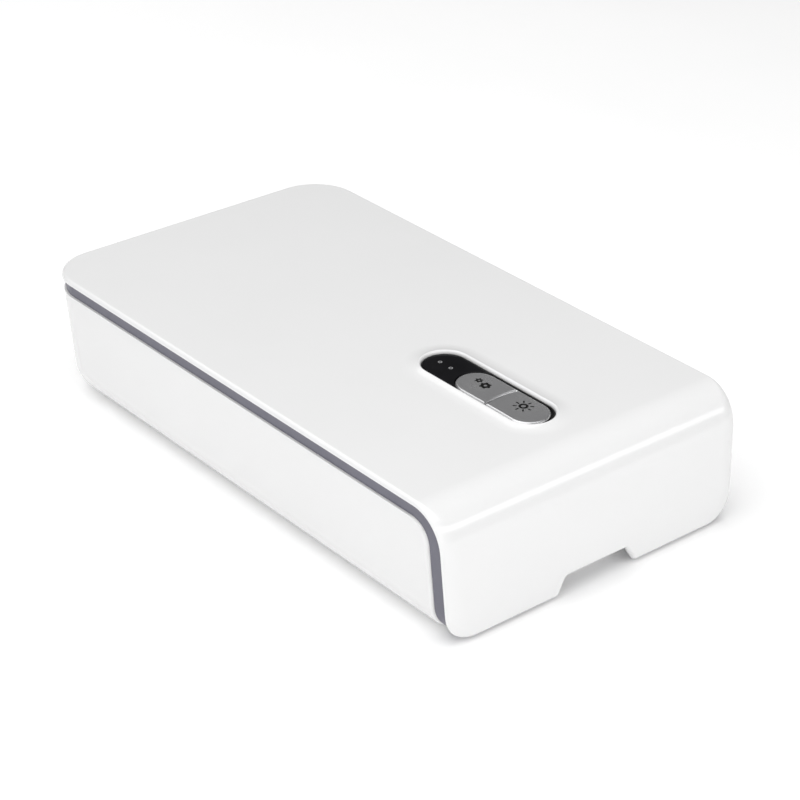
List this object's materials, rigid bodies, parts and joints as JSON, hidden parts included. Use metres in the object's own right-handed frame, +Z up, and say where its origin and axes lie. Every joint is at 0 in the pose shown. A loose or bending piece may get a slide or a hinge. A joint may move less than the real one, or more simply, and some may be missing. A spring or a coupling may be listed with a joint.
{
  "type": "uv sterilizer cabinet",
  "caption": "Flat countertop UV box for salon tools: an L-shaped lid hinged at the back over a mirror-lined chamber with a tool rack, and a two-button control pod.",
  "frame": {"origin": "on the surface the box stands on, under the middle of its bounding box", "axes": "+X to the right when facing the front, +Y from the front with the finger notch to the hinges at the back, +Z up"},
  "size_m": [0.2, 0.3587, 0.0753],
  "materials": {
    "white_abs": "smooth glossy white ABS",
    "grey_abs": "satin blue-grey ABS",
    "mirror": "polished aluminium reflector sheet",
    "silver": "satin silver with bright chamfers",
    "black_gloss": "glossy tinted lens",
    "board": "green solder mask",
    "steel": "bright steel",
    "magnet": "nickel plated",
    "rubber": "matte black rubber",
    "black_plastic": "black plastic",
    "quartz": "clear domed quartz over the emitter",
    "indicator": "small white indicator body"
  },
  "bodies": {
    "base": {"base_deck": "white_abs", "base_led_board": "board", "base_liner": "mirror", "base_magnet_left": "magnet", "base_magnet_right": "magnet", "base_shell": "white_abs", "dc_inlet": "black_plastic", "deck_screw_1": "steel", "deck_screw_2": "steel", "deck_screw_3": "steel", "deck_screw_4": "steel", "foot_1": "rubber", "foot_2": "rubber", "foot_3": "rubber", "foot_4": "rubber", "hinge_pin_left": "steel", "hinge_pin_right": "steel", "lid_switch": "black_plastic", "main_board": "board", "tool_rack": "steel", "uvc_led_base_1": "quartz", "uvc_led_base_2": "quartz", "uvc_led_base_3": "quartz"},
    "lid": {"control_board": "board", "indicator_led_1": "indicator", "indicator_led_2": "indicator", "indicator_window": "black_gloss", "lid_frame": "grey_abs", "lid_led_board_left": "board", "lid_led_board_right": "board", "lid_magnet_left": "magnet", "lid_magnet_right": "magnet", "lid_reflector": "mirror", "lid_screw_1": "steel", "lid_screw_2": "steel", "lid_screw_3": "steel", "lid_screw_4": "steel", "lid_shell": "white_abs", "light_seal": "rubber", "pod_bezel": "black_plastic", "sensor_magnet": "magnet", "tact_switch_light": "black_plastic", "tact_switch_mode": "black_plastic", "uvc_led_lid_1": "quartz", "uvc_led_lid_2": "quartz", "uvc_led_lid_3": "quartz", "uvc_led_lid_4": "quartz", "uvc_led_lid_5": "quartz", "uvc_led_lid_6": "quartz"},
    "mode_button": {"button_mode": "silver"},
    "light_button": {"button_light": "silver"}
  },
  "joints": [
    {"name": "lid_hinge", "type": "hinge", "parent": "base", "child": "lid", "pos_m": [0, 0.17588, 0.0643], "axis": [-1, 0, 0], "range_deg": [0, 100]},
    {"name": "mode_press", "type": "slide", "parent": "lid", "child": "mode_button", "axis": [0, 0, -1], "range_m": [0, 0.0005], "stiffness_N_per_m": 600},
    {"name": "light_press", "type": "slide", "parent": "lid", "child": "light_button", "axis": [0, 0, -1], "range_m": [0, 0.0005], "stiffness_N_per_m": 600}
  ]
}
